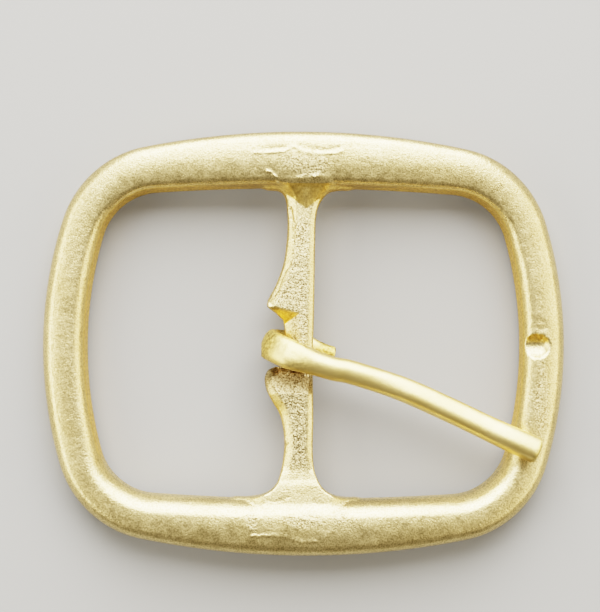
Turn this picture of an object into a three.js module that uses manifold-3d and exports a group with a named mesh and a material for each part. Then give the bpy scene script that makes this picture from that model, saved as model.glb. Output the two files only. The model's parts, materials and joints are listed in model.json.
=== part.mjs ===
// Centre-bar belt buckle: a cast brass frame with its bar cast in one, and a bent brass prong.
//
// Millimetres, +Z up. The buckle lies on its back on z = 0. X runs across the buckle, from the end
// where the belt is folded round the bar to the end where the prong's tip rests. Y runs along the bar.

import * as THREE from 'three';
import { ParametricGeometry } from 'three/addons/geometries/ParametricGeometry.js';
import { mergeVertices } from 'three/addons/utils/BufferGeometryUtils.js';
import Module from 'manifold-3d';

const wasm = await Module();
wasm.setup();

// ---- Driving dimensions -------------------------------------------------------------------------

// Outlines of the frame: each is a rounded rectangle with bowed sides, made of tangent arcs.
const OUTER = { halfX: 33.8, halfY: 27.1, longR: 112, sideR: 52.8, cornerR: 13.75 };
const OPENING = { halfX: 28.15, halfY: 20.0, longR: 320, sideR: 50.5, cornerR: 7.7 };

// Section of the rail
const RAIL_THICKNESS = 4.4;
const CROWN = 0.4; // how far the middle of the front stands above its shoulders
const OUTER_SHOULDER = { wide: 2.0, deep: 1.9 };
const INNER_SHOULDER = { wide: 1.2, deep: 1.1 };
const WALL_DRAFT = 0.35; // how far the inner wall leans back from the opening, back to front
const BACK_ROUNDING = 0.45;

// The frame is bent to the body: its middle stands this much in front of its two ends, which rest
// on z = 0 at REST_X.
const BOW = 3.0;
const REST_X = OUTER.halfX - BACK_ROUNDING;

// Centre bar. Its axis stands a little towards the belt fold, and its back is level with the backs
// of the long rails.
const BAR_X = -0.75;
const BAR_HALF_WIDTH = 1.87;
const BAR_THICKNESS = 2.9;
const BAR_EDGE = 0.45; // rounding of the bar's edges
const BAR_RIGHT = BAR_X + BAR_HALF_WIDTH;
const BAR_LEFT = BAR_X - BAR_HALF_WIDTH;
const BAR_BACK = BOW;
const BAR_FRONT = BAR_BACK + BAR_THICKNESS;
const BAR_Z = (BAR_BACK + BAR_FRONT) / 2;
const BAR_ROOT = 2; // how far the bar runs into each rail
const BAR_WAIST = { top: 0.2, right: 0.1, bottom: 0.25 }; // how far its edges stand off the straight

// The bar widens into the rails over the last few millimetres, by these amounts on each side.
const FLARE = { start: 4.4, bend: 1.0, topLeft: 2.2, topRight: 5.3, bottomLeft: 4.9, bottomRight: 5.1 };

// Notch in the bar for the prong's eye, between the two shoulders. The bar is a rounded neck there.
const NOTCH = { top: 1.9, bottom: -3.1 };
const NOTCH_OVERLAP = 0.9; // how far the flat stretches of the bar run into the notch
const NECK_HALF_THICKNESS = 1.3;
const NECK_OVERLAP = 1.5;

// Left-hand edges of the two shoulders in X and Y, both running downwards
const UPPER_SHOULDER = {
  begins: 13.6,
  swell: [[-3.05, 10.1], [-4.3, 7.0], [-4.85, 5.2]],
  underside: [[-4.25, 3.85], [-2.72, 2.8]],
};
const LOWER_SHOULDER = {
  top: [[-2.62, -2.9], [-3.6, -3.15]],
  swell: [[-4.7, -3.45], [-5.15, -4.6], [-4.75, -6.4], [-3.7, -8.4], [-3.1, -10.6]],
};

// Wedge that slopes the front of the lower shoulder down towards the notch
const RAMP = { foot: -6.6, slope: THREE.MathUtils.degToRad(24), width: 12, length: 6, height: 3 };

// Prong
const WIRE_R = 1.52;
const EYE_TILT = THREE.MathUtils.degToRad(15); // the loose eye lies askew on the bar
const EYE_Y = -1.2;
const EYE_HOLE_R = 2.6;
const EYE_BAND = { halfWidth: 1.9, thickness: 2.35, backThickness: 1.7 };
const EYE_PITCH = 1.6; // the tail lies beside the shank by this much
const EYE_TURNS = { back: 275, front: 95, step: 20 }; // degrees
const TAIL_END = { halfWidth: 1.0, halfThickness: 0.75 };
const TIP_R = 1.65;
const TIP_X = 30;
const TIP_GAP = 0.3;
const TIP_REST = 2.6; // how far in from its end the wire would touch the rail

// Ends of the wire's centreline on either side of the eye
const TAIL_POINTS = [[3.7, -1.25, 1.9], [2.1, -1.15, 1.35]];
const SHANK_POINTS = [[3.3, -3.3, 8.0], [6.0, -3.85, 7.75], [12.4, -5.9, 7.35], [18.7, -8.65, 7.2]];
const TIP_POINTS = [[23.8, -11.05], [TIP_X, -13.85]];

// Where the wire changes its section, as distances from the end of its tail or from its tip
const TAIL_FLARE = 5;
const BAND_SPAN = { begins: 2, full: 6, fades: 15, ends: 20 };
const THIN_BACK = { full: 6, ends: 12 };
const TIP_SWELL = { begins: 9, full: 2 };
const END_DOME = 0.85;

// Shallow seat for the tip, cast into the rail
const SEAT = { width: 3.3, depth: 1.2, from: 26.5, to: 31.9, y: -0.5 };

// Mesh density
const STEPS_PER_ARC = 7;
const PRONG_STEPS = 64;
const PRONG_SIDES = 14;

// ---- Small tools --------------------------------------------------------------------------------

function solid(geometry) {
  const bare = geometry.clone();
  bare.deleteAttribute('normal');
  bare.deleteAttribute('uv');
  const welded = mergeVertices(bare, 1e-4);
  const corners = welded.index.array;
  const kept = [];
  for (let i = 0; i < corners.length; i += 3) {
    const [a, b, c] = corners.slice(i, i + 3);
    if (a !== b && b !== c && c !== a) kept.push(a, b, c);
  }
  return new wasm.Manifold(new wasm.Mesh({
    numProp: 3,
    vertProperties: new Float32Array(welded.attributes.position.array),
    triVerts: new Uint32Array(kept),
  }));
}

function geometryOf(body) {
  const mesh = body.getMesh();
  const geometry = new THREE.BufferGeometry();
  geometry.setAttribute('position', new THREE.BufferAttribute(mesh.vertProperties, 3));
  geometry.setIndex(new THREE.BufferAttribute(mesh.triVerts, 1));
  geometry.computeVertexNormals();
  return geometry;
}

function bowHeight(x) {
  return BOW * (1 - (x / REST_X) ** 2);
}

// ---- Frame --------------------------------------------------------------------------------------

// One quarter of an outline, as three tangent arcs from the middle of the long side to the middle
// of the short side. Each arc is {centre, radius, from, to}.
function quarterArcs({ halfX, halfY, longR, sideR, cornerR }) {
  const long = new THREE.Vector2(0, halfY - longR);
  const side = new THREE.Vector2(halfX - sideR, 0);
  const longReach = longR - cornerR;
  const sideReach = sideR - cornerR;
  const between = side.clone().sub(long);
  const distance = between.length();
  const along = (longReach ** 2 - sideReach ** 2 + distance ** 2) / (2 * distance);
  const across = Math.sqrt(longReach ** 2 - along ** 2);
  const unit = between.divideScalar(distance);
  const corner = new THREE.Vector2(
    long.x + along * unit.x + across * unit.y,
    long.y + along * unit.y - across * unit.x,
  );
  const longTurn = Math.atan2(corner.y - long.y, corner.x - long.x);
  const sideTurn = Math.atan2(corner.y - side.y, corner.x - side.x);
  return [
    { centre: long, radius: longR, from: Math.PI / 2, to: longTurn },
    { centre: corner, radius: cornerR, from: longTurn, to: sideTurn },
    { centre: side, radius: sideR, from: sideTurn, to: 0 },
  ];
}

const OUTER_ARCS = quarterArcs(OUTER);
const OPENING_ARCS = quarterArcs(OPENING);

// The point of an outline at a share of the whole way round, clockwise from the top. The same share
// lies on matching arcs of the two outlines, so a straight line joins them across the rail.
function outlinePoint(arcs, share) {
  const quarters = (share % 1) * 4;
  const quarter = Math.floor(quarters);
  const inQuarter = quarters - quarter;
  const mirrored = quarter % 2 === 1;
  const place = (mirrored ? 1 - inQuarter : inQuarter) * arcs.length;
  const index = Math.min(Math.floor(place), arcs.length - 1);
  const { centre, radius, from, to } = arcs[index];
  const turn = from + (to - from) * (place - index);
  const x = centre.x + radius * Math.cos(turn);
  const y = centre.y + radius * Math.sin(turn);
  return new THREE.Vector2(quarter < 2 ? x : -x, quarter === 1 || quarter === 2 ? -y : y);
}

// Section of the rail as points {inset, z}: inset is measured from the outer edge towards the
// opening, and the points run from the outer foot over the front to the inner foot and back.
function railSection(width) {
  const points = [];
  const front = RAIL_THICKNESS - CROWN;
  const shoulder = ({ wide, deep }, turn) => ({
    across: wide * (1 - Math.cos(turn)),
    z: front - deep * (1 - Math.sin(turn)),
  });
  points.push({ inset: 0, z: BACK_ROUNDING });
  const outerSteps = 4;
  for (let i = 0; i <= outerSteps; i++) {
    const { across, z } = shoulder(OUTER_SHOULDER, (i / outerSteps) * Math.PI / 2);
    points.push({ inset: across, z });
  }
  const middle = (OUTER_SHOULDER.wide + width - WALL_DRAFT - INNER_SHOULDER.wide) / 2;
  points.push({ inset: middle, z: RAIL_THICKNESS });
  const innerSteps = 3;
  for (let i = innerSteps; i >= 0; i--) {
    const { across, z } = shoulder(INNER_SHOULDER, (i / innerSteps) * Math.PI / 2);
    points.push({ inset: width - WALL_DRAFT - across, z });
  }
  points.push({ inset: width, z: BACK_ROUNDING });
  points.push({ inset: width - BACK_ROUNDING, z: 0 });
  points.push({ inset: BACK_ROUNDING, z: 0 });
  return points;
}

const SECTION_POINTS = railSection(6).length;

// Torus-like surface: `around` goes round the opening and `over` goes round the rail's section.
function railSurface(around, over, target) {
  const outer = outlinePoint(OUTER_ARCS, around);
  const inner = outlinePoint(OPENING_ARCS, around);
  const width = outer.distanceTo(inner);
  const section = railSection(width);
  const { inset, z } = section[Math.round((1 - over) * SECTION_POINTS) % SECTION_POINTS];
  const place = outer.lerp(inner, inset / width);
  target.set(place.x, place.y, z + bowHeight(place.x));
}

function rails() {
  const steps = 4 * OUTER_ARCS.length * STEPS_PER_ARC;
  return solid(new ParametricGeometry(railSurface, steps, SECTION_POINTS));
}

// A flat plate of the bar, from its outline in X and Y
function barPlate(shape) {
  const plate = new THREE.ExtrudeGeometry(shape, {
    depth: BAR_THICKNESS - 2 * BAR_EDGE,
    bevelThickness: BAR_EDGE,
    bevelSize: BAR_EDGE,
    bevelOffset: -BAR_EDGE,
    bevelSegments: 2,
    curveSegments: 5,
  });
  return solid(plate.translate(0, 0, BAR_BACK + BAR_EDGE));
}

// Takes the outline from one edge of the bar out along the opening's wall, into the rail and back to
// the other edge. `up` is 1 at the upper rail and -1 at the lower one.
function flareIntoRail(shape, from, fromWide, to, toWide, up) {
  const wall = up * OPENING.halfY;
  const start = wall - up * FLARE.start;
  const bend = wall - up * FLARE.bend;
  const root = wall + up * BAR_ROOT;
  shape.lineTo(from, start);
  shape.quadraticCurveTo(from, bend, fromWide, wall);
  shape.lineTo(fromWide, root);
  shape.lineTo(toWide, root);
  shape.lineTo(toWide, wall);
  shape.quadraticCurveTo(to, bend, to, start);
}

function curveThrough(shape, points) {
  shape.splineThru(points.map(([x, y]) => new THREE.Vector2(x, y)));
}

// Upper stretch of the bar: above the notch it swells into a shoulder, cut back under its tip, that
// keeps the prong's eye from sliding along the bar.
function upperPlate() {
  const shape = new THREE.Shape();
  const left = BAR_LEFT + BAR_WAIST.top;
  const right = BAR_RIGHT + BAR_WAIST.right;
  shape.moveTo(BAR_RIGHT, NOTCH.top - NOTCH_OVERLAP);
  flareIntoRail(shape, right, BAR_RIGHT + FLARE.topRight, left, left - FLARE.topLeft, 1);
  shape.lineTo(left, UPPER_SHOULDER.begins);
  curveThrough(shape, UPPER_SHOULDER.swell);
  for (const [x, y] of UPPER_SHOULDER.underside) shape.lineTo(x, y);
  shape.lineTo(BAR_LEFT, NOTCH.top - NOTCH_OVERLAP);
  return barPlate(shape);
}

// Lower stretch: the same, with a round-topped shoulder below the notch
function lowerPlate() {
  const shape = new THREE.Shape();
  const left = BAR_LEFT - BAR_WAIST.bottom;
  shape.moveTo(BAR_RIGHT, NOTCH.bottom + NOTCH_OVERLAP);
  for (const [x, y] of LOWER_SHOULDER.top) shape.lineTo(x, y);
  curveThrough(shape, LOWER_SHOULDER.swell);
  flareIntoRail(shape, left, left - FLARE.bottomLeft, BAR_RIGHT, BAR_RIGHT + FLARE.bottomRight, -1);
  return barPlate(shape);
}

// Rounded neck of the bar in the notch, where the prong's eye turns
function barNeck() {
  const neck = new THREE.CylinderGeometry(1, 1, NOTCH.top - NOTCH.bottom + 2 * NECK_OVERLAP, 20);
  neck.scale(BAR_HALF_WIDTH, 1, NECK_HALF_THICKNESS);
  neck.translate(BAR_X, (NOTCH.top + NOTCH.bottom) / 2, BAR_Z);
  return solid(neck);
}

// What is cut away from the front of the lower shoulder
function shoulderRamp() {
  const wedge = new THREE.BoxGeometry(RAMP.width, RAMP.length, RAMP.height);
  wedge.translate(0, RAMP.length / 2, RAMP.height / 2);
  wedge.rotateX(-RAMP.slope);
  wedge.translate(BAR_X, RAMP.foot, BAR_FRONT);
  return solid(wedge);
}

// Shallow groove across the inner half of the right-hand rail
function tipSeat() {
  const radius = ((SEAT.width / 2) ** 2 + SEAT.depth ** 2) / (2 * SEAT.depth);
  const length = SEAT.to - SEAT.from;
  const groove = new THREE.CapsuleGeometry(radius, length, 8, 24);
  groove.rotateZ(Math.PI / 2);
  const front = RAIL_THICKNESS + bowHeight(SEAT.to - length / 2);
  const middle = SEAT.to - radius - length / 2;
  groove.translate(middle, SEAT.y, front - SEAT.depth + radius);
  return solid(groove);
}

function frameCasting() {
  const bar = upperPlate().add(lowerPlate()).subtract(shoulderRamp()).add(barNeck());
  return geometryOf(rails().add(bar).subtract(tipSeat()));
}

// ---- Prong --------------------------------------------------------------------------------------

const EYE_CENTRE = new THREE.Vector3(BAR_X, EYE_Y, BAR_Z);
const EYE_AXIS = new THREE.Vector3(Math.sin(EYE_TILT), Math.cos(EYE_TILT), 0);
const EYE_ACROSS = new THREE.Vector3(Math.cos(EYE_TILT), -Math.sin(EYE_TILT), 0);

// A point of the eye's centreline. The turn is 90 degrees at the front of the bar, 180 at its left
// and 270 behind it, and the eye is a helix whose tail lies beside the start of the shank.
function eyePoint(degrees) {
  const turn = THREE.MathUtils.degToRad(degrees);
  const behind = Math.max(0, -Math.sin(turn));
  const thickness = THREE.MathUtils.lerp(EYE_BAND.thickness, EYE_BAND.backThickness, behind);
  const radius = EYE_HOLE_R + thickness / 2;
  const along = EYE_PITCH * (degrees - 180) / 180;
  return EYE_CENTRE.clone()
    .addScaledVector(EYE_ACROSS, radius * Math.cos(turn))
    .addScaledVector(EYE_AXIS, along)
    .add(new THREE.Vector3(0, 0, radius * Math.sin(turn)));
}

// Centreline of the wire: tail, eye, then the shank's long shallow S to the tip on the rail
function prongPath() {
  const tipZ = RAIL_THICKNESS + bowHeight(TIP_X - TIP_REST) + TIP_GAP + TIP_R;
  const points = TAIL_POINTS.map((place) => new THREE.Vector3(...place));
  for (let turn = EYE_TURNS.back; turn >= EYE_TURNS.front; turn -= EYE_TURNS.step) {
    points.push(eyePoint(turn));
  }
  points.push(...SHANK_POINTS.map((place) => new THREE.Vector3(...place)));
  points.push(...TIP_POINTS.map(([x, y]) => new THREE.Vector3(x, y, tipZ)));
  return new THREE.CatmullRomCurve3(points, false, 'centripetal');
}

function prong() {
  const path = prongPath();
  const length = path.getLength();
  const point = new THREE.Vector3();
  const tangent = new THREE.Vector3();
  const side = new THREE.Vector3();
  const normal = new THREE.Vector3();
  const { smoothstep, lerp } = THREE.MathUtils;

  // Half width and half thickness of the wire at a distance from the tail's end
  function size(distance) {
    const { begins, full, fades, ends } = BAND_SPAN;
    const flat = smoothstep(distance, begins, full) * (1 - smoothstep(distance, fades, ends));
    const tail = 1 - smoothstep(distance, 0, TAIL_FLARE);
    const behind = 1 - smoothstep(distance, THIN_BACK.full, THIN_BACK.ends);
    const nearTip = smoothstep(distance, length - TIP_SWELL.begins, length - TIP_SWELL.full);
    const round = lerp(WIRE_R, TIP_R, nearTip);
    const band = lerp(EYE_BAND.thickness, EYE_BAND.backThickness, behind) / 2;
    return {
      width: lerp(lerp(round, EYE_BAND.halfWidth, flat), TAIL_END.halfWidth, tail),
      thickness: lerp(lerp(round, band, Math.max(flat, behind)), TAIL_END.halfThickness, tail),
    };
  }

  // Both ends are domes: the wire's size follows a quarter circle over the last stretch.
  function dome(distance) {
    const share = Math.min(1, distance / END_DOME);
    return Math.sqrt(Math.max(0, 1 - (1 - share) ** 2));
  }

  function surface(over, along, target) {
    path.getPointAt(along, point);
    path.getTangentAt(along, tangent);
    side.copy(EYE_AXIS).addScaledVector(tangent, -EYE_AXIS.dot(tangent)).normalize();
    normal.crossVectors(tangent, side);
    const distance = along * length;
    const { width, thickness } = size(distance);
    const end = dome(distance) * dome(length - distance);
    const turn = (over % 1) * 2 * Math.PI;
    target.copy(point)
      .addScaledVector(side, end * width * Math.cos(turn))
      .addScaledVector(normal, end * thickness * Math.sin(turn));
  }

  return geometryOf(solid(new ParametricGeometry(surface, PRONG_SIDES, PRONG_STEPS)));
}

// ---- The two pieces -----------------------------------------------------------------------------

const castBrass = new THREE.MeshStandardMaterial({ color: 0xc9bd88, roughness: 0.38, metalness: 1 });
const wireBrass = new THREE.MeshStandardMaterial({ color: 0xcdb873, roughness: 0.27, metalness: 1 });

const frame = new THREE.Mesh(frameCasting(), castBrass);
frame.name = 'frame_casting';

const tongue = new THREE.Mesh(prong(), wireBrass);
tongue.name = 'prong';

const buckle = new THREE.Group();
buckle.add(frame, tongue);

export default buckle;
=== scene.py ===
"""Centre-bar belt buckle in cast brass, with a bent brass wire prong, lying on its back on a pale floor.

The casting is carved from one distance field, so that bar and rails flow into each other, and then given the
marks that casting and tumbling leave. The prong is a section swept along its bent centreline. Shapes are
written in millimetres in the CAD model's frame, and turned into metres when a mesh is made.
"""

import json
import math

import bpy
import numpy as np
import openvdb
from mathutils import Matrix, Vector, noise


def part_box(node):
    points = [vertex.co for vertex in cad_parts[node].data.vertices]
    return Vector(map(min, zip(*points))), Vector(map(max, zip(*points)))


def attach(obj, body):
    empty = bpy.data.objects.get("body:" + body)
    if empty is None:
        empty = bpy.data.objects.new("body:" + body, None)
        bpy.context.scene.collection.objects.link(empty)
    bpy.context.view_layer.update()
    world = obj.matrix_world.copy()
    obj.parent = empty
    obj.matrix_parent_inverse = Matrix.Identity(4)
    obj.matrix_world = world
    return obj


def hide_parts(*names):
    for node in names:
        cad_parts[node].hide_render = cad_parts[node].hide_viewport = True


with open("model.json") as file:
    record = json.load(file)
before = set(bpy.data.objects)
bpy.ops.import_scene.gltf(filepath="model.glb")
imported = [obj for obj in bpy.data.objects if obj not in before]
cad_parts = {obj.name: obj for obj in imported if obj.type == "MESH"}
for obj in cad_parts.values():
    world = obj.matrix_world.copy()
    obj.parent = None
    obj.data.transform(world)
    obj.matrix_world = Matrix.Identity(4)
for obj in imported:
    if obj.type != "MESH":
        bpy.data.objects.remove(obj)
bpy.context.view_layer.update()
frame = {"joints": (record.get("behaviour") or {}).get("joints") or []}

MM = 0.001

# ---- Driving dimensions, in millimetres ----------------------------------------------------------

CASTING_LOW, CASTING_HIGH = (np.array(corner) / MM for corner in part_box("frame_casting"))
PRONG_LOW, PRONG_HIGH = (np.array(corner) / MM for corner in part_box("prong"))
HINGE = frame["joints"][0]
EYE_CENTRE = np.array(HINGE["pos_m"]) / MM
EYE_AXIS = -np.array(HINGE["axis"])

# Outlines of the frame: rounded rectangles with bowed sides, made of tangent arcs
OUTER = {
    "half_x": CASTING_HIGH[0],
    "half_y": CASTING_HIGH[1],
    "long_r": 112,
    "side_r": 52.8,
    "corner_r": 13.75,
}
OPENING = {"half_x": 28.15, "half_y": 20.0, "long_r": 320, "side_r": 50.5, "corner_r": 7.7}

# Section of the rail. Its front falls by CROWN from the middle to either edge. On the lower rail it is
# highest a little outside the middle, shifted by a share of half the rail's width. The shift grows between
# two distances below the middle of the frame.
RAIL_THICKNESS = 4.4
CROWN = 0.42
LOWER_PEAK = {"shift": -0.12, "grows": (8, 19)}
OUTER_SHOULDER = 1.35
BACK_ROUNDING = 0.45
WALL_DRAFT = 0.35
# Radius of the shoulder round the opening, at these heights from the lower to the upper rail
INNER_SHOULDER_AT = (-18, -10, 10, 18)
INNER_SHOULDER = (2.1, 1.5, 1.5, 0.8)

# The frame is bent to the body: its middle stands this much in front of its two ends.
BOW = CASTING_HIGH[2] - RAIL_THICKNESS
REST_X = OUTER["half_x"] - BACK_ROUNDING

# Centre bar
BAR_X = EYE_CENTRE[0]
BAR_FRONT = BOW + 2.9
BAR_EDGE = 0.25
BAR_BACK_EDGE = 0.27
BAR_ROOT = 22.0
JOIN_FILLET = 0.6

# Relief of the bar's front. Pairs are where something begins and where it is complete.
# Bevel along the long edges, wider and deeper on the left, which dies out towards the lower rail
BEVEL = {"width": 0.75, "depth": 0.35, "more_on_left": 0.45, "power": 1.2, "dies_out": (13.5, 17.5)}
# Ramp down to the notch on the lower shoulder
RAMP = {"foot": -6.6, "length": 3.6, "slope": 0.42, "ends": (-3.3, -2.6)}
# Pointed gusset up to the wall of the upper rail
GUSSET = {"tip": (0.1, 17.2), "spread": 0.75, "foot": 19.7, "wall": 20.4, "height": 0.95, "ends": (3.0, 4.5)}
# Shelf that rises towards the shoulder of the lower rail
SHELF = {"step": 0.3, "rises": (15.6, 18.6), "slope": 0.13, "slope_from": 17.5}
# Fall of the front beside the bar, where its flared ends run out into the rails
FLARE_FALL = {"middle": -0.8, "falls": (4.0, 7.5), "depth": 1.0}

# Faces of the notch, each a point and a direction that it looks in
NOTCH_FACES = [
    # slanted underside of the upper shoulder
    ((-1.05, 3.75, BAR_FRONT), (-0.15, -0.56, 0.79)),
    # neck, sloping to the left
    ((-0.8, 0, BAR_FRONT - 0.05), (-0.57, 0, 0.82)),
    # top of the lower shoulder
    ((-3.5, -3.1, BAR_FRONT - 1.3), (0, 0.87, 0.5)),
]
NOTCH_ROUNDING = 0.12

# Seat for the prong's tip: a scoop across the inner half of the right-hand rail, longer below than above
SEAT = {"radius": 2.15, "depth": 1.0, "end_x": 31.85, "y": -0.15, "above": 0.76, "below": 0.98, "rim": 0.2}
SEAT_WALL = {"middle": (30.0, 0.5), "reach": 2.4}

# Prong: half sizes of the wire, its gap to the rail, and the band that makes its eye
WIRE_HALF_WIDTH = 1.52
WIRE_HALF_THICKNESS = 1.4
TIP_HALF_WIDTH = 1.6
TAIL_HALF_WIDTH = 1.0
TAIL_HALF_THICKNESS = 0.75
TIP_GAP = 0.3
EYE_HOLE_R = 2.6
EYE_BAND = {"half_width": 1.9, "thickness": 2.35, "back_thickness": 1.7}
EYE_PITCH = 1.6

# Fineness of the meshes: cell of the casting's field, rings and sides of the wire
VOXEL = 0.13
RINGS_PER_MM = 8
SIDES = 64

# Outline of the bar in X and Y, in smooth stretches that meet at corners, running clockwise
RIGHT_EDGE = [
    (6.0, BAR_ROOT), (6.0, 20.1), (4.3, 19.85), (3.1, 19.45), (2.4, 18.8), (1.8, 17.8), (1.45, 16.5),
    (1.3, 14), (1.2, 5), (1.1, 0), (1.1, -5), (1.15, -10), (1.1, -13.75), (1.3, -16.2), (2.0, -18),
    (2.8, -18.95), (4.0, -19.6), (5.5, -19.95), (7.0, -20.1), (7.0, -BAR_ROOT),
]
LOWER_LEFT_EDGE = [
    (-9.0, -BAR_ROOT), (-9.0, -20.1), (-7.3, -19.9), (-5.4, -19.5), (-4.3, -18.95), (-3.45, -18),
    (-2.95, -16.6), (-2.65, -15), (-2.5, -13.1), (-2.65, -11.2), (-3.15, -9.2), (-4.1, -7.6), (-4.85, -6.1),
    (-5.1, -4.7), (-4.7, -3.6), (-3.75, -3.15), (-2.9, -3.1),
]
NECK_EDGE = [(-2.6, -2.6), (-2.55, 0), (-2.55, 1.6), (-2.75, 2.85)]
SHOULDER_UNDERSIDE = [(-3.7, 3.75), (-4.7, 4.5), (-4.85, 4.95)]
UPPER_LEFT_EDGE = [
    (-4.75, 5.4), (-4.4, 6.1), (-3.65, 7.6), (-2.75, 10.2), (-2.35, 13.1), (-2.25, 15.5), (-2.35, 17.3),
    (-2.5, 18.4), (-2.85, 19.2), (-3.6, 19.7), (-5.2, 20.05), (-5.2, BAR_ROOT),
]
# A line well outside the notch, for an outline that passes over it
PAST_NOTCH = [(-8.0, -3.1), (-8.0, 5.4)]

# Marks of the casting and of use on its front: a path in X and Y, a height and a half width
MARKS = [
    # border of the sunken patch over the upper junction, with the hollows behind it
    ([(-6.5, 24.1), (-4.0, 24.2), (-2.7, 24.35), (-1.9, 24.8), (-1.5, 24.95), (-1.0, 24.7), (-0.5, 24.3),
      (0.8, 24.1), (2.4, 24.0), (3.7, 24.15), (4.7, 24.35)],
     0.045, 0.16),
    ([(-0.7, 24.95), (0.8, 24.65), (2.4, 24.55), (4.1, 24.75)], -0.05, 0.35),
    ([(-5.6, 24.6), (-2.7, 24.8)], -0.04, 0.3),
    # crease and lumps below it
    ([(-4.95, 21.8), (-4.3, 21.45), (-3.7, 21.0), (-3.3, 20.5)], 0.1, 0.15),
    ([(-0.95, 20.9), (-0.5, 20.8)], 0.07, 0.25),
    ([(1.0, 21.05), (1.5, 21.3)], 0.08, 0.3),
    # ridge, flow lines and dents over the lower junction
    ([(-6.5, -24.5), (-4.0, -24.4), (-2.4, -24.55), (-1.1, -24.9), (-0.1, -25.2), (1.4, -25.1)], 0.08, 0.17),
    ([(-2.7, -21.95), (-1.5, -22.0), (-0.5, -22.2), (0.5, -22.45), (1.8, -22.65)], 0.03, 0.15),
    ([(-6.8, -23.6), (-6.8, -22.2), (-5.9, -21.5)], 0.03, 0.3),
    ([(4.3, -21.4), (4.55, -22.7)], 0.03, 0.35),
    ([(2.65, -24.7), (2.9, -24.2), (3.55, -23.95)], 0.05, 0.15),
    ([(-5.3, -19.6), (-4.7, -20.1), (-3.7, -20.3), (-2.7, -20.0), (-1.8, -19.6)], -0.02, 0.18),
    # folds in the skin of the bar
    ([(-2.25, 17.6), (-1.7, 16.3), (-1.25, 14.5), (-1.1, 12.7), (-1.7, 10.6), (-2.6, 8.85), (-3.8, 6.05)],
     -0.05, 0.12),
    ([(-1.95, 17.3), (-1.6, 15.2), (-1.45, 13.1)], -0.09, 0.16),
    ([(-2.9, -11.3), (-2.1, -13.0)], 0.08, 0.12),
    ([(-0.9, -3.7), (-0.8, -5.7)], 0.06, 0.13),
    ([(-0.15, -3.7), (-0.15, -6.0)], 0.08, 0.12),
    ([(0.5, -3.9), (0.55, -5.6)], 0.05, 0.12),
    # dent beside the tip's seat
    ([(30.2, 2.0), (30.5, 2.2)], -0.05, 0.9),
]

# Heights of the fine relief of the casting's skin and of the wire's
SATIN_GRAIN = 0.002
SANDY_GRAIN = 0.012
SEAT_PITS = 0.07
HAMMER_DENTS = 0.045
WAVES = 0.004

# Sandy patches of the front, left as they came out of the mould: centre, half sizes
SANDY = [
    ((30.6, -7.6), (1.1, 5.2)),
    ((0.2, 22.6), (3.0, 1.6)),
    ((0.2, -22.5), (2.8, 1.0)),
    ((-6.6, -22.6), (0.8, 1.3)),
    ((4.5, -22.1), (0.9, 1.0)),
]


# ---- Distance fields -----------------------------------------------------------------------------


def corner_centre(outline):
    """Centre of the corner arc that touches both the long and the side arc from inside."""
    long_y = outline["half_y"] - outline["long_r"]
    side_x = outline["half_x"] - outline["side_r"]
    long_reach = outline["long_r"] - outline["corner_r"]
    side_reach = outline["side_r"] - outline["corner_r"]
    apart = math.hypot(side_x, long_y)
    along = (long_reach**2 - side_reach**2 + apart**2) / (2 * apart)
    across = math.sqrt(long_reach**2 - along**2)
    unit = (side_x / apart, -long_y / apart)
    return along * unit[0] + across * unit[1], long_y + along * unit[1] - across * unit[0]


def outline_distance(x, y, outline):
    """Signed distance to an outline, negative inside. Each quarter is a long, a corner and a side arc."""
    x, y = np.abs(x), np.abs(y)
    long_y = outline["half_y"] - outline["long_r"]
    side_x = outline["half_x"] - outline["side_r"]
    corner_x, corner_y = corner_centre(outline)
    to_long = np.hypot(x, y - long_y) - outline["long_r"]
    to_side = np.hypot(x - side_x, y) - outline["side_r"]
    to_corner = np.hypot(x - corner_x, y - corner_y) - outline["corner_r"]
    by_long = np.arctan2(y - long_y, x) >= math.atan2(corner_y - long_y, corner_x)
    by_side = np.arctan2(y, x - side_x) <= math.atan2(corner_y, corner_x - side_x)
    nearest = np.where(by_long, to_long, np.where(by_side, to_side, to_corner))
    return np.where(by_long & by_side, np.maximum(to_long, to_side), nearest)


def rounded_corner(first, second, radius):
    """Two faces meet in an edge that is rounded to that radius."""
    first, second = first + radius, second + radius
    outside = np.hypot(np.maximum(first, 0), np.maximum(second, 0))
    return np.minimum(np.maximum(first, second), 0) + outside - radius


def smooth_union(first, second, reach):
    """Union of two solids with a fillet between them."""
    blend = np.maximum(reach - np.abs(first - second), 0) / reach
    return np.minimum(first, second) - blend**2 * reach / 4


def smoothstep(value, low, high):
    """0 up to the low value, 1 from the high value on, and a smooth rise between."""
    share = np.clip((value - low) / (high - low), 0, 1)
    return share * share * (3 - 2 * share)


def plane(x, y, z, point, normal):
    """Height above a plane."""
    normal = np.array(normal) / np.linalg.norm(normal)
    return (x - point[0]) * normal[0] + (y - point[1]) * normal[1] + (z - point[2]) * normal[2]


def bow_height(x):
    """How far the frame's back stands off the floor."""
    return BOW * (1 - (x / REST_X) ** 2)


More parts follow.
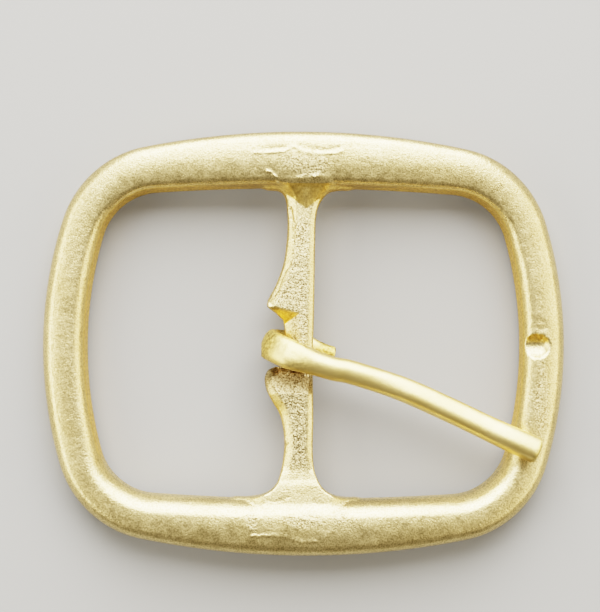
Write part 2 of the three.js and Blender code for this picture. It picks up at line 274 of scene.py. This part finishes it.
def rail_field(x, y, z):
    """The closed ring of rails: crowned in front, rounded along its edges, with a drafted wall inside."""
    height = z - bow_height(x)
    from_edge = -outline_distance(x, y, OUTER)
    from_opening = outline_distance(x, y, OPENING) - WALL_DRAFT * height / RAIL_THICKNESS
    width = np.maximum(from_edge + from_opening, 1)
    lean = np.clip((from_edge - from_opening) / width, -1, 1)
    peak = LOWER_PEAK["shift"] * smoothstep(-y, *LOWER_PEAK["grows"])
    above_front = height - RAIL_THICKNESS + CROWN * (lean - peak) ** 2
    inner_shoulder = np.interp(y, INNER_SHOULDER_AT, INNER_SHOULDER)
    front = np.maximum(
        rounded_corner(-from_edge, above_front, OUTER_SHOULDER),
        rounded_corner(-from_opening, above_front, inner_shoulder),
    )
    back = np.maximum(
        rounded_corner(-from_edge, -height, BACK_ROUNDING),
        rounded_corner(-from_opening, -height, BACK_ROUNDING),
    )
    return np.maximum(front, back)


def curve_through(points, steps=8):
    """Catmull-Rom curve through points."""
    points = np.array(points, float)
    padded = np.vstack([2 * points[0] - points[1], points, 2 * points[-1] - points[-2]])
    share = np.linspace(0, 1, steps, endpoint=False)[:, None]
    spans = []
    for before, start, end, after in zip(padded, padded[1:], padded[2:], padded[3:]):
        straight = (end - before) * share
        bend = (2 * before - 5 * start + 4 * end - after) * share**2
        twist = (3 * start - before - 3 * end + after) * share**3
        spans.append(start + (straight + bend + twist) / 2)
    return np.vstack([*spans, points[-1:]])


def polygon_distance(x, y, corners):
    """Signed distance to a closed polygon, negative inside."""
    nearest = np.full(x.shape, np.inf)
    inside = np.zeros(x.shape, bool)
    for (x0, y0), (x1, y1) in zip(corners, np.roll(corners, -1, axis=0)):
        dx, dy = x1 - x0, y1 - y0
        share = np.clip(((x - x0) * dx + (y - y0) * dy) / (dx * dx + dy * dy + 1e-12), 0, 1)
        nearest = np.minimum(nearest, (x - x0 - share * dx) ** 2 + (y - y0 - share * dy) ** 2)
        if dy:
            inside ^= ((y0 > y) != (y1 > y)) & (x < x0 + (y - y0) * dx / dy)
    return np.where(inside, -1, 1) * np.sqrt(nearest)


def grid_places(low, high, cell):
    """X and Y of a grid of places that covers a rectangle."""
    counts = np.ceil((high - low) / cell).astype(int)
    columns, rows = (low[axis] + cell * np.arange(counts[axis]) for axis in (0, 1))
    return np.meshgrid(columns, rows, indexing="ij")


class BarOutline:
    """Signed distance to an outline round the bar, kept on a fine grid so that it is quick to read."""

    LOW = np.array((-13, -26))
    HIGH = np.array((11, 26))
    CELL = 0.06

    def __init__(self, *stretches):
        x, y = grid_places(self.LOW, self.HIGH + self.CELL, self.CELL)
        self.values = polygon_distance(x, y, np.vstack([curve_through(stretch) for stretch in stretches]))

    def __call__(self, x, y):
        """Distance at any place, read between the grid's four nearest values."""
        column = np.clip((x - self.LOW[0]) / self.CELL, 0, self.values.shape[0] - 1.001)
        row = np.clip((y - self.LOW[1]) / self.CELL, 0, self.values.shape[1] - 1.001)
        i, j = column.astype(int), row.astype(int)
        s, t = column - i, row - j
        near = self.values[i, j] * (1 - s) + self.values[i + 1, j] * s
        far = self.values[i, j + 1] * (1 - s) + self.values[i + 1, j + 1] * s
        return near * (1 - t) + far * t


bar_outline = BarOutline(RIGHT_EDGE, LOWER_LEFT_EDGE, NECK_EDGE, SHOULDER_UNDERSIDE, UPPER_LEFT_EDGE)
long_edges = BarOutline(RIGHT_EDGE, LOWER_LEFT_EDGE, PAST_NOTCH, UPPER_LEFT_EDGE)


def bevel(x, y):
    """How far the front falls along the bar's long edges."""
    inside = np.maximum(-long_edges(x, y), 0)
    on_left = 1 - smoothstep(x, BAR_X - 0.5, BAR_X + 0.5)
    width = BEVEL["width"] + BEVEL["more_on_left"] * on_left
    depth = BEVEL["depth"] + BEVEL["more_on_left"] * on_left
    fall = depth * np.maximum(1 - inside / width, 0) ** BEVEL["power"]
    return fall * (1 - smoothstep(-y, *BEVEL["dies_out"]))


def notch_ramp(y):
    """How far the front of the lower shoulder falls on its way to the notch."""
    fall = RAMP["slope"] * np.clip(y - RAMP["foot"], 0, RAMP["length"])
    return fall * (1 - smoothstep(y, *RAMP["ends"]))


def gusset(x, y):
    """Height of the pointed gusset at the upper junction."""
    tip_x, tip_y = GUSSET["tip"]
    foot = np.minimum(tip_y + GUSSET["spread"] * np.abs(x - tip_x), GUSSET["foot"])
    rise = GUSSET["height"] * np.clip((y - foot) / (GUSSET["wall"] - foot), 0, 1)
    return rise * (1 - smoothstep(np.abs(x), *GUSSET["ends"]))


def shelf(y):
    """Height of the shelf at the lower junction."""
    step = SHELF["step"] * smoothstep(-y, *SHELF["rises"])
    return step + SHELF["slope"] * np.maximum(-y - SHELF["slope_from"], 0)


def bar_front(x, y):
    """Height of the bar's front face at a place."""
    beside = smoothstep(np.abs(x - FLARE_FALL["middle"]), *FLARE_FALL["falls"])
    rise = gusset(x, y) + shelf(y) * (1 - beside)
    return BAR_FRONT - bevel(x, y) - notch_ramp(y) + rise - FLARE_FALL["depth"] * beside


def bar_field(x, y, z):
    """The bar, with its notch and the shoulders on both sides of it."""
    solid = rounded_corner(bar_outline(x, y), z - bar_front(x, y), BAR_EDGE)
    notch = np.minimum.reduce([plane(x, y, z, point, normal) for point, normal in NOTCH_FACES])
    return rounded_corner(solid, notch, NOTCH_ROUNDING)


def seat_field(x, y, z):
    """The scoop for the prong's tip."""
    radius, depth = SEAT["radius"], SEAT["depth"]
    half_width = math.sqrt(radius**2 - (radius - depth) ** 2)
    end_x = SEAT["end_x"] - half_width
    floor = RAIL_THICKNESS + bow_height(end_x) - depth
    along = x - np.clip(x, OPENING["half_x"] - 3, end_x)
    across = y - SEAT["y"]
    across = across / np.where(across > 0, SEAT["above"], SEAT["below"])
    return np.sqrt(along**2 + across**2 + (z - floor - radius) ** 2) - radius


def casting_field(x, y, z):
    """Rails and bar joined with a fillet, cut flat and rounded at the back, with the seat scooped out."""
    x, y, z = (np.asarray(axis, float) for axis in (x, y, z))
    rails = rail_field(x, y, z)
    near_bar = (x > BarOutline.LOW[0] + 1) & (x < BarOutline.HIGH[0] - 1) & (np.abs(y) < BAR_ROOT + 3)
    far_away = 8.0
    bar = np.full(x.shape, far_away)
    bar[near_bar] = bar_field(x[near_bar], y[near_bar], z[near_bar])
    solid = smooth_union(rails, bar, JOIN_FILLET)
    solid = rounded_corner(solid, bow_height(x) - z, BAR_BACK_EDGE)
    return rounded_corner(solid, -seat_field(x, y, z), SEAT["rim"])


# ---- Meshes --------------------------------------------------------------------------------------


def mesh_object(name, points, faces):
    """A smooth mesh from points in millimetres."""
    mesh = bpy.data.meshes.new(name)
    mesh.from_pydata((points * MM).tolist(), [], faces)
    mesh.shade_smooth()
    piece = bpy.data.objects.new(name, mesh)
    bpy.context.scene.collection.objects.link(piece)
    return piece


def give_attribute(piece, name, values):
    """A value from 0 to 1 at each point, for the material to read."""
    attribute = piece.data.attributes.new(name, "FLOAT", "POINT")
    attribute.data.foreach_set("value", np.clip(values, 0, 1).astype(np.float32))


def slope(field, points, step=0.02):
    """Unit direction in which a field grows fastest."""
    differences = []
    for axis in range(3):
        shift = np.zeros(3)
        shift[axis] = step
        differences.append(field(*(points + shift).T) - field(*(points - shift).T))
    slopes = np.stack(differences, 1)
    return slopes / np.maximum(np.linalg.norm(slopes, axis=1, keepdims=True), 1e-9)


def carve(field, low, high):
    """Points, quads and normals of a field's zero surface, with every point moved onto it."""
    margin = 3 * VOXEL
    start, end = low - margin, high + margin
    x, y = grid_places(start, end, VOXEL)
    levels = start[2] + VOXEL * np.arange(math.ceil((end[2] - start[2]) / VOXEL))
    layers = [field(x, y, np.full(x.shape, level)) for level in levels]
    grid = openvdb.FloatGrid(background=margin)
    grid.copyFromArray(np.clip(np.stack(layers, 2), -margin, margin).astype(np.float32))
    points, quads = grid.convertToQuads(0.0)
    points = start + VOXEL * points.astype(float)
    for _ in range(2):
        points -= np.clip(field(*points.T), -VOXEL, VOXEL)[:, None] * slope(field, points)
    return points, quads[:, ::-1].tolist(), slope(field, points)


def noise_at(points, size, seed):
    """Smooth noise between about -1 and 1, with bumps of that size in millimetres."""
    shift = Vector((seed * 17.3, seed * 5.1, seed * 9.7))
    return np.array([noise.noise(Vector(place) + shift) for place in (points / size).tolist()])


def path_distance(x, y, path):
    """Distance to an open path of straight lines."""
    nearest = np.full(x.shape, np.inf)
    for (x0, y0), (x1, y1) in zip(path, path[1:]):
        dx, dy = x1 - x0, y1 - y0
        share = np.clip(((x - x0) * dx + (y - y0) * dy) / (dx * dx + dy * dy), 0, 1)
        nearest = np.minimum(nearest, np.hypot(x - x0 - share * dx, y - y0 - share * dy))
    return nearest


def marks(points):
    """Height of the marks of casting and use at each point, a little uneven in height and place."""
    x, y = points[:, 0], points[:, 1]
    ragged = 1 + 0.9 * noise_at(points, 0.5, 1)
    shake_x, shake_y = 0.16 * noise_at(points, 0.6, 3), 0.16 * noise_at(points, 0.6, 4)
    height = np.zeros(len(points))
    for path, crest, half_width in MARKS:
        distance = path_distance(x + shake_x, y + shake_y, path)
        height += crest * ragged * np.exp(-((distance / half_width) ** 2))
    return height


def upper_seat(points, normals):
    """1 on the upper wall of the tip's seat."""
    middle_x, middle_y = SEAT_WALL["middle"]
    near = np.hypot(points[:, 0] - middle_x, points[:, 1] - middle_y) < SEAT_WALL["reach"]
    return near * smoothstep(-normals[:, 1], 0.15, 0.4)


def sandiness(points, normals):
    """1 where the surface is as the mould left it, 0 where tumbling has smoothed it."""
    x, y = points[:, 0], points[:, 1]
    wander = 0.35 * noise_at(points, 1.6, 2)
    patches = np.zeros(len(points))
    for (middle_x, middle_y), (half_x, half_y) in SANDY:
        reach = np.hypot((x - middle_x) / half_x, (y - middle_y) / half_y) + wander
        patches = np.maximum(patches, 0.7 * (1 - smoothstep(reach, 0.6, 1.25)))
    on_front = smoothstep(normals[:, 2], 0.5, 0.85)
    inside_bar = smoothstep(-long_edges(x, y), 0.5, 1.0) * (1 - smoothstep(np.abs(y), 15.0, 17.0))
    inside_bar *= smoothstep(-bar_outline(x, y), 0.3, 1.3)
    on_wall = 0.6 * smoothstep(1 - np.abs(normals[:, 2]), 0.6, 0.9)
    return np.maximum.reduce([patches * on_front, inside_bar, on_wall, upper_seat(points, normals)])


def painted_gold_reflection(points, normals):
    """1 where a golden reflection is painted in: the opening's wall, what looks down inside the opening, and
    the upper wall of the tip's seat.
    """
    x, y = points[:, 0], points[:, 1]
    from_opening = outline_distance(x, y, OPENING)
    upright = smoothstep(1 - np.abs(normals[:, 2]), 0.35, 0.75)
    looks_down = 0.8 * smoothstep(-normals[:, 1], 0.1, 0.4) * (from_opening < 0.3)
    on_wall = upright * (from_opening < 1.2) * (1 - smoothstep(normals[:, 1], 0.2, 0.6))
    return np.maximum.reduce([on_wall, looks_down, 0.85 * upper_seat(points, normals)])


def painted_shade(points, normals):
    """1 where shade is painted in, darker and browner: both shoulders beside the prong's eye, under the eye
    and under the upper shoulder's tip, and a little on outer walls as a painted darker reflection.
    """
    x, y = points[:, 0], points[:, 1]
    under_eye = smoothstep(y, -9.0, -4.5) * (1 - smoothstep(y, -2.5, -1.5)) * (np.abs(x) < 8)
    from_shoulder_tip = np.hypot(x + 4.8, y - 4.6)
    above_eye = (1 - smoothstep(from_shoulder_tip, 0.2, 1.9)) * smoothstep(-normals[:, 1], 0.1, 0.4)
    outer_wall = smoothstep(np.hypot(normals[:, 0], normals[:, 1]), 0.6, 0.95) * (np.abs(y) > 20)
    return np.maximum.reduce([0.85 * under_eye, 0.7 * above_eye, 0.35 * outer_wall])


def frame_piece():
    """The casting: frame and centre bar in one."""
    points, faces, normals = carve(casting_field, CASTING_LOW, CASTING_HIGH)
    sandy = sandiness(points, normals)
    on_front = smoothstep(normals[:, 2], 0.2, 0.6)
    grain = 0.6 * noise_at(points, 0.38, 5) + 0.4 * noise_at(points, 0.24, 6)
    waves = noise_at(points, 4.0, 7) + 0.5 * noise_at(points, 1.8, 8)
    pits = SEAT_PITS * upper_seat(points, normals) * noise_at(points, 0.4, 9)
    relief = on_front * marks(points) + grain * (SATIN_GRAIN + SANDY_GRAIN * sandy) + WAVES * waves + pits
    points = np.clip(points + normals * relief[:, None], CASTING_LOW, CASTING_HIGH)
    piece = mesh_object("Frame_and_bar", points, faces)
    give_attribute(piece, "sandy", sandy)
    # Painted reflection: golden colour on the opening's walls, on faces that look down into it and on the
    # seat's upper wall
    give_attribute(piece, "painted_gold", painted_gold_reflection(points, normals))
    # Painted shade: darker colour under the prong's eye, under the upper shoulder's tip and a little on
    # outer walls
    give_attribute(piece, "painted_darkening", painted_shade(points, normals))
    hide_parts("frame_casting")
    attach(piece, "frame")
    return piece


# ---- Prong ---------------------------------------------------------------------------------------

EYE_ACROSS = np.array([EYE_AXIS[1], -EYE_AXIS[0], 0])
END_ROUNDING = 0.4

# The wire's path on both sides of the eye. Its last two points rest on the rail.
TAIL_POINTS = [(4.3, -1.5, 2.05), (2.1, -1.1, 1.35)]
SHANK_POINTS = [(3.3, -3.3, 8.0), (6.0, -3.85, 7.75), (12.4, -5.9, 7.35), (18.7, -8.65, 7.2)]
TIP_BEND = {"x": 23.8, "y": -11.05, "lift": 0.05}
TIP_Y = -13.85
TIP_OVERLAP = 2.6

# Stretches of the wire, as distances from the tail's end: where each begins and is complete
TAIL_GROWS = (0, 5)
BAND_BEGINS = (2, 6)
BAND_THICKENS = (6, 12)
BAND_ENDS = (15, 20)
FRONT_BEGINS = (10, 12)
FRONT_ENDS = (16, 19)
SHANK_BEGINS = (24, 33)

# The wire's section: its power is 2 for an ellipse and more for a squarer one. Rolls are in degrees.
SECTION_POWER = 2.1
SQUARER = 0.6
FRONT_ROLL = 10
SHANK_ROLL = 17

# The slanted cuts: over what length of wire they reach, and how far they lean for each millimetre of height
TIP_CUT = {"length": 1.8, "lean": -0.12}
TAIL_CUT = {"length": 1.2, "lean": 0.5}


def blend(first, second, share):
    """A value between two, by the second one's share."""
    return first + (second - first) * share


def eye_point(degrees):
    """A point of the eye's centreline: 90 degrees is in front of the bar, 180 at its left, 270 behind it."""
    turn = math.radians(degrees)
    behind = max(0, -math.sin(turn))
    thickness = blend(EYE_BAND["thickness"], EYE_BAND["back_thickness"], behind)
    radius = EYE_HOLE_R + thickness / 2
    along = EYE_PITCH * (degrees - 180) / 180
    lift = np.array([0, 0, radius * math.sin(turn)])
    return EYE_CENTRE + EYE_ACROSS * radius * math.cos(turn) + EYE_AXIS * along + lift


def prong_path():
    """Centreline of the wire, from the tail behind the bar, round the eye and along the shank to the tip."""
    tip_x = PRONG_HIGH[0]
    tip_z = RAIL_THICKNESS + bow_height(tip_x - TIP_OVERLAP) + TIP_GAP + TIP_HALF_WIDTH
    eye = [eye_point(degrees) for degrees in range(275, 94, -20)]
    tip = [(TIP_BEND["x"], TIP_BEND["y"], tip_z + TIP_BEND["lift"]), (tip_x, TIP_Y, tip_z)]
    return curve_through(TAIL_POINTS + eye + SHANK_POINTS + tip, steps=40)


def ring_places(length):
    """Where the rings go along the wire, and the share of its size at each: both ends are cut flat, with a
    rounded edge."""
    turns = np.radians([0, 20, 40, 60, 80, 90])
    from_end = END_ROUNDING * (1 - np.sin(turns))
    share = 1 - END_ROUNDING / WIRE_HALF_WIDTH * (1 - np.cos(turns))
    from_end = np.append(from_end, [0, 0, 0])
    share = np.append(share, share[-1] * np.array([0.7, 0.4, 0.1]))
    count = int((length - 2 * END_ROUNDING) * RINGS_PER_MM)
    middle = np.linspace(END_ROUNDING, length - END_ROUNDING, count)[1:-1]
    places = np.concatenate([from_end[::-1], middle, length - from_end])
    return places, np.concatenate([share[::-1], np.ones(len(middle)), share])


def wire_directions(path, distance, places):
    """Centre of the wire at each place, and the directions along it, across it and up from it."""

    def place_on_path(wanted):
        return np.stack([np.interp(wanted, distance, path[:, axis]) for axis in range(3)], 1)

    tangent = place_on_path(places + 0.3) - place_on_path(places - 0.3)
    tangent /= np.linalg.norm(tangent, axis=1, keepdims=True)
    side = EYE_AXIS - (tangent @ EYE_AXIS)[:, None] * tangent
    side /= np.linalg.norm(side, axis=1, keepdims=True)
    return place_on_path(places), tangent, side, np.cross(tangent, side)


def wire_half_sizes(places, length):
    """Half width and half thickness: a slim tail, a flat band for the eye, a round shank that swells at its
    tip."""
    tail = 1 - smoothstep(places, *TAIL_GROWS)
    band = smoothstep(places, *BAND_BEGINS) * (1 - smoothstep(places, *BAND_ENDS))
    behind_bar = 1 - smoothstep(places, *BAND_THICKENS)
    near_tip = smoothstep(places, length - 9, length - 2)
    width = blend(WIRE_HALF_WIDTH, TIP_HALF_WIDTH, near_tip)
    width = blend(width, EYE_BAND["half_width"], band)
    thickness = blend(WIRE_HALF_THICKNESS, TIP_HALF_WIDTH, near_tip)
    band_thickness = blend(EYE_BAND["thickness"], EYE_BAND["back_thickness"], behind_bar)
    thickness = blend(thickness, band_thickness / 2, np.maximum(band, behind_bar))
    return blend(width, TAIL_HALF_WIDTH, tail), blend(thickness, TAIL_HALF_THICKNESS, tail)


def wire_section(places, half_width, half_thickness):
    """How far each point of a ring lies across and up: a superellipse, squarer in front of the bar and along
    the shank, and rolled there a little towards the upper side."""
    front = smoothstep(places, *FRONT_BEGINS) * (1 - smoothstep(places, *FRONT_ENDS))
    shank = smoothstep(places, *SHANK_BEGINS)
    power = 2 / (SECTION_POWER + SQUARER * np.maximum(front, shank))[:, None]
    turn = np.linspace(0, 2 * math.pi, SIDES, endpoint=False)
    across = half_width[:, None] * np.sign(np.cos(turn)) * np.abs(np.cos(turn)) ** power
    up = half_thickness[:, None] * np.sign(np.sin(turn)) * np.abs(np.sin(turn)) ** power
    roll = np.radians(FRONT_ROLL * front + SHANK_ROLL * shank)[:, None]
    return across * np.cos(roll) + up * np.sin(roll), up * np.cos(roll) - across * np.sin(roll)


def end_slant(places, length, height):
    """How far each point moves along the wire, so that both ends are cut on the slant."""
    tip = np.maximum(places - (length - TIP_CUT["length"]), 0)[:, None] / TIP_CUT["length"]
    tail = np.maximum(TAIL_CUT["length"] - places, 0)[:, None] / TAIL_CUT["length"]
    return (TAIL_CUT["lean"] * tail + TIP_CUT["lean"] * tip) * height


def hammering(places, length):
    """1 where hammer and cutter have left their marks: the outer end of the eye, less on its front, and the
    wire's two ends."""
    eye = smoothstep(places, 5, 8) * (1 - smoothstep(places, 17, 20))
    eye *= 1 - 0.7 * smoothstep(places, 12.5, 15)
    tail = 1 - smoothstep(places, 2, 4)
    tip = 0.7 * smoothstep(places, length - 0.9, length - 0.5)
    return np.maximum.reduce([eye, tail, tip])


def tube_faces(rings):
    """Quads between neighbouring rings, and a cap at each end."""
    faces = [tuple(range(SIDES))[::-1], tuple(range((rings - 1) * SIDES, rings * SIDES))]
    for ring in range(rings - 1):
        low, high = ring * SIDES, (ring + 1) * SIDES
        for i in range(SIDES):
            j = (i + 1) % SIDES
            faces.append((low + i, low + j, high + j, high + i))
    return faces


def prong_piece():
    """The prong: eye, shank and tip, bent from one length of wire."""
    path = prong_path()
    distance = np.concatenate([[0], np.cumsum(np.linalg.norm(np.diff(path, axis=0), axis=1))])
    length = distance[-1]
    places, share = ring_places(length)
    centre, tangent, side, normal = wire_directions(path, distance, places)
    half_width, half_thickness = wire_half_sizes(places, length)
    across, up = wire_section(places, share * half_width, share * half_thickness)
    along = end_slant(places, length, up + half_thickness[:, None])

    outward = side[:, None, :] * across[..., None] + normal[:, None, :] * up[..., None]
    points = centre[:, None, :] + outward + tangent[:, None, :] * along[..., None]
    points, outward = points.reshape(-1, 3), outward.reshape(-1, 3)
    outward /= np.maximum(np.linalg.norm(outward, axis=1, keepdims=True), 1e-6)
    hammered = np.repeat(hammering(places, length), SIDES)
    dents = (SATIN_GRAIN + HAMMER_DENTS * hammered) * noise_at(points, 0.45, 11)
    relief = dents + WAVES * noise_at(points, 2.5, 12)
    points = np.clip(points + outward * relief[:, None], PRONG_LOW, PRONG_HIGH)

    piece = mesh_object("Prong_wire", points, tube_faces(len(places)))
    give_attribute(piece, "hammered", hammered)
    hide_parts("prong")
    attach(piece, "prong")
    return piece


# ---- Materials -----------------------------------------------------------------------------------


class Nodes:
    """Short calls for building a material's node tree."""

    def __init__(self, name, metallic=1.0):
        self.material = bpy.data.materials.new(name)
        self.material.use_nodes = True
        self.tree = self.material.node_tree
        self.shader = self.tree.nodes["Principled BSDF"]
        self.shader.inputs["Metallic"].default_value = metallic

    def add(self, kind, **values):
        """A new node. A value goes to the input of that name, or else to the node's own setting."""
        node = self.tree.nodes.new(kind)
        for key, value in values.items():
            if key in node.inputs:
                node.inputs[key].default_value = value
            else:
                setattr(node, key, value)
        return node

    def link(self, source, target):
        self.tree.links.new(source, target)

    def ramp(self, source, stops):
        """Colour or grey value looked up along stops of (position, value)."""
        node = self.add("ShaderNodeValToRGB")
        elements = node.color_ramp.elements
        while len(elements) < len(stops):
            elements.new(0.5)
        for element, (position, value) in zip(elements, stops):
            element.position = position
            element.color = (*value, 1) if isinstance(value, tuple) else (value, value, value, 1)
        self.link(source, node.inputs["Fac"])
        return node.outputs["Color"]

    def feed(self, value, socket):
        """Set a socket to a number, or link another node's output to it."""
        if isinstance(value, (int, float)):
            socket.default_value = value
        else:
            self.link(value, socket)

    def mix(self, share, first, second, how="MIX"):
        """Two colours, with the second one's share."""
        node = self.add("ShaderNodeMix", data_type="RGBA", blend_type=how)
        colours = [socket for socket in node.inputs if socket.type == "RGBA"]
        self.feed(share, node.inputs[0])
        for socket, value in zip(colours, (first, second)):
            self.link(value, socket)
        return [socket for socket in node.outputs if socket.type == "RGBA"][0]

    def multiply(self, first, second):
        return self.mix(1.0, first, second, how="MULTIPLY")

    def noise(self, scale, detail=3.0, stretch=(1, 1, 1), turn=0.0):
        """Noise fixed to the piece, stretched along one direction if wanted."""
        coordinates = self.add("ShaderNodeTexCoord").outputs["Object"]
        mapping = self.add("ShaderNodeMapping", Scale=stretch, Rotation=(0, 0, math.radians(turn)))
        self.link(coordinates, mapping.inputs["Vector"])
        node = self.add("ShaderNodeTexNoise", Scale=scale, Detail=detail)
        self.link(mapping.outputs["Vector"], node.inputs["Vector"])
        return node.outputs["Fac"]

    def attribute(self, name):
        return self.add("ShaderNodeAttribute", attribute_name=name).outputs["Fac"]

    def bump(self, height, strength, distance, before=None):
        """Bump on top of the one before, its distance in metres."""
        node = self.add("ShaderNodeBump", Distance=distance)
        self.feed(strength, node.inputs["Strength"])
        self.link(height, node.inputs["Height"])
        if before:
            self.link(before, node.inputs["Normal"])
        return node.outputs["Normal"]


def scratches(nodes, turn):
    """Fine short scratches in one direction."""
    lines = nodes.noise(300, detail=2, stretch=(0.35, 9, 9), turn=turn)
    return nodes.ramp(lines, [(0.7, 0.0), (0.74, 1.0)])


def cast_brass():
    """Satin brass after tumbling, with a fine sandy grain, and rough where the mould's skin is left. A
    golden reflection is painted on the opening's walls and on faces that look down, and shade is painted
    darker under the prong's eye and on outer walls.
    """
    nodes = Nodes("Cast_brass")
    shader = nodes.shader
    sandy = nodes.attribute("sandy")
    grain = nodes.noise(4800, detail=3)
    tone = nodes.ramp(nodes.noise(230, detail=5), [(0.35, (0.76, 0.59, 0.27)), (0.68, (0.86, 0.68, 0.33))])
    glints = nodes.ramp(grain, [(0.36, (0.58, 0.57, 0.54)), (0.58, (1.0, 1.0, 1.0))])
    satin_colour = nodes.multiply(tone, glints)
    skin = nodes.ramp(grain, [(0.36, (0.15, 0.11, 0.05)), (0.6, (0.80, 0.65, 0.34))])
    cast = nodes.mix(sandy, satin_colour, skin)
    # Painted reflection: golden colour on the opening's walls, on faces that look down into it and on the
    # seat's upper wall
    reflected_gold = nodes.ramp(nodes.noise(3000, detail=4), [(0.35, (0.60, 0.37, 0.08)), (0.65, (1.0, 0.68, 0.19))])
    cast = nodes.mix(nodes.attribute("painted_gold"), cast, reflected_gold)
    # Painted shade: darker, browner colour under the prong's eye, under the upper shoulder's tip and a
    # little on outer walls
    shade_colour = nodes.ramp(grain, [(0.35, (0.10, 0.07, 0.03)), (0.7, (0.52, 0.40, 0.20))])
    nodes.link(nodes.mix(nodes.attribute("painted_darkening"), cast, shade_colour), shader.inputs["Base Color"])
    satin = nodes.ramp(nodes.noise(900, detail=4), [(0.3, 0.31), (0.7, 0.41)])
    rough = nodes.ramp(grain, [(0.3, 0.38), (0.7, 0.55)])
    nodes.link(nodes.mix(sandy, satin, rough), shader.inputs["Roughness"])
    strength = nodes.ramp(sandy, [(0.0, 0.5), (1.0, 1.0)])
    fine = nodes.bump(grain, strength, 0.00006)
    coarse = nodes.bump(nodes.noise(1500, detail=3), strength, 0.00007, before=fine)
    scratched = nodes.bump(scratches(nodes, 20), 0.2, 0.00002, before=coarse)
    scratched = nodes.bump(scratches(nodes, -50), 0.2, 0.00002, before=scratched)
    nodes.link(scratched, shader.inputs["Normal"])
    return nodes.material


def wire_brass():
    """Drawn brass wire, smoother and yellower than the casting, with faint lines along it."""
    nodes = Nodes("Wire_brass")
    shader = nodes.shader
    hammered = nodes.attribute("hammered")
    grain = nodes.noise(3000, detail=3)
    tone = nodes.ramp(nodes.noise(300, detail=4), [(0.35, (0.82, 0.62, 0.24)), (0.68, (0.90, 0.70, 0.30))])
    struck = nodes.ramp(grain, [(0.3, (0.26, 0.18, 0.05)), (0.65, (0.80, 0.60, 0.19))])
    nodes.link(nodes.mix(hammered, tone, struck), shader.inputs["Base Color"])
    smooth = nodes.ramp(grain, [(0.3, 0.37), (0.7, 0.45)])
    rough = nodes.ramp(grain, [(0.3, 0.44), (0.7, 0.6)])
    nodes.link(nodes.mix(hammered, smooth, rough), shader.inputs["Roughness"])
    strength = nodes.ramp(hammered, [(0.0, 0.2), (1.0, 0.8)])
    fine = nodes.bump(grain, strength, 0.00006)
    drawn = nodes.noise(700, detail=3, stretch=(0.05, 4, 4), turn=24)
    nodes.link(nodes.bump(drawn, 0.1, 0.00002, before=fine), shader.inputs["Normal"])
    return nodes.material


# ---- Stage ---------------------------------------------------------------------------------------


def floor():
    """A pale matt floor, wide enough for every view."""
    mesh = bpy.data.meshes.new("Floor")
    half = 3.0
    corners = [(-half, -half, 0), (half, -half, 0), (half, half, 0), (-half, half, 0)]
    mesh.from_pydata(corners, [], [(0, 1, 2, 3)])
    plate = bpy.data.objects.new("Floor", mesh)
    bpy.context.scene.collection.objects.link(plate)
    nodes = Nodes("Floor", metallic=0.0)
    nodes.shader.inputs["Base Color"].default_value = (0.30, 0.297, 0.288, 1)
    nodes.shader.inputs["Roughness"].default_value = 0.9
    mesh.materials.append(nodes.material)


def softbox(name, place, size, radiance, colour=(1, 1, 1)):
    """A softbox aimed at the buckle. Its power follows from how bright its face is to look."""
    data = bpy.data.lights.new(name, "AREA")
    data.shape = "RECTANGLE"
    data.size, data.size_y = size
    data.energy = math.pi * size[0] * size[1] * radiance
    data.color = colour
    light = bpy.data.objects.new(name, data)
    light.location = place
    light.rotation_euler = (-Vector(place)).to_track_quat("-Z", "Y").to_euler()
    bpy.context.scene.collection.objects.link(light)


def lights():
    """A large key light beyond the buckle, a warm softbox on either side, and a dim warm room."""
    softbox("Key_far_side", (0.0, 0.50, 0.39), (0.8, 0.82), 9.0)
    softbox("Side_right", (0.55, 0.0, 0.34), (0.6, 0.42), 3.5, (1.0, 0.90, 0.72))
    softbox("Side_left", (-0.55, 0.0, 0.30), (0.6, 0.35), 5.0, (1.0, 0.95, 0.84))
    world = bpy.data.worlds.new("Studio")
    bpy.context.scene.world = world
    world.use_nodes = True
    world.node_tree.nodes["Background"].inputs["Color"].default_value = (0.22, 0.206, 0.181, 1)


def camera():
    """Nearly square on, from 0.2 m, as a telephone held over the buckle sees it."""
    data = bpy.data.cameras.new("Camera")
    data.lens = 94.1
    data.clip_start = 0.01
    view = bpy.data.objects.new("Camera", data)
    view.location = (-0.00425, -0.00479, 0.2102)
    view.rotation_mode = "ZYX"
    view.rotation_euler = (0.0461, -0.0177, 0.0063)
    bpy.context.scene.collection.objects.link(view)
    bpy.context.scene.camera = view


camera()
floor()
lights()
frame_piece().data.materials.append(cast_brass())
prong_piece().data.materials.append(wire_brass())
bpy.context.scene.view_settings.view_transform = "Filmic"
bpy.context.scene.view_settings.look = "High Contrast"
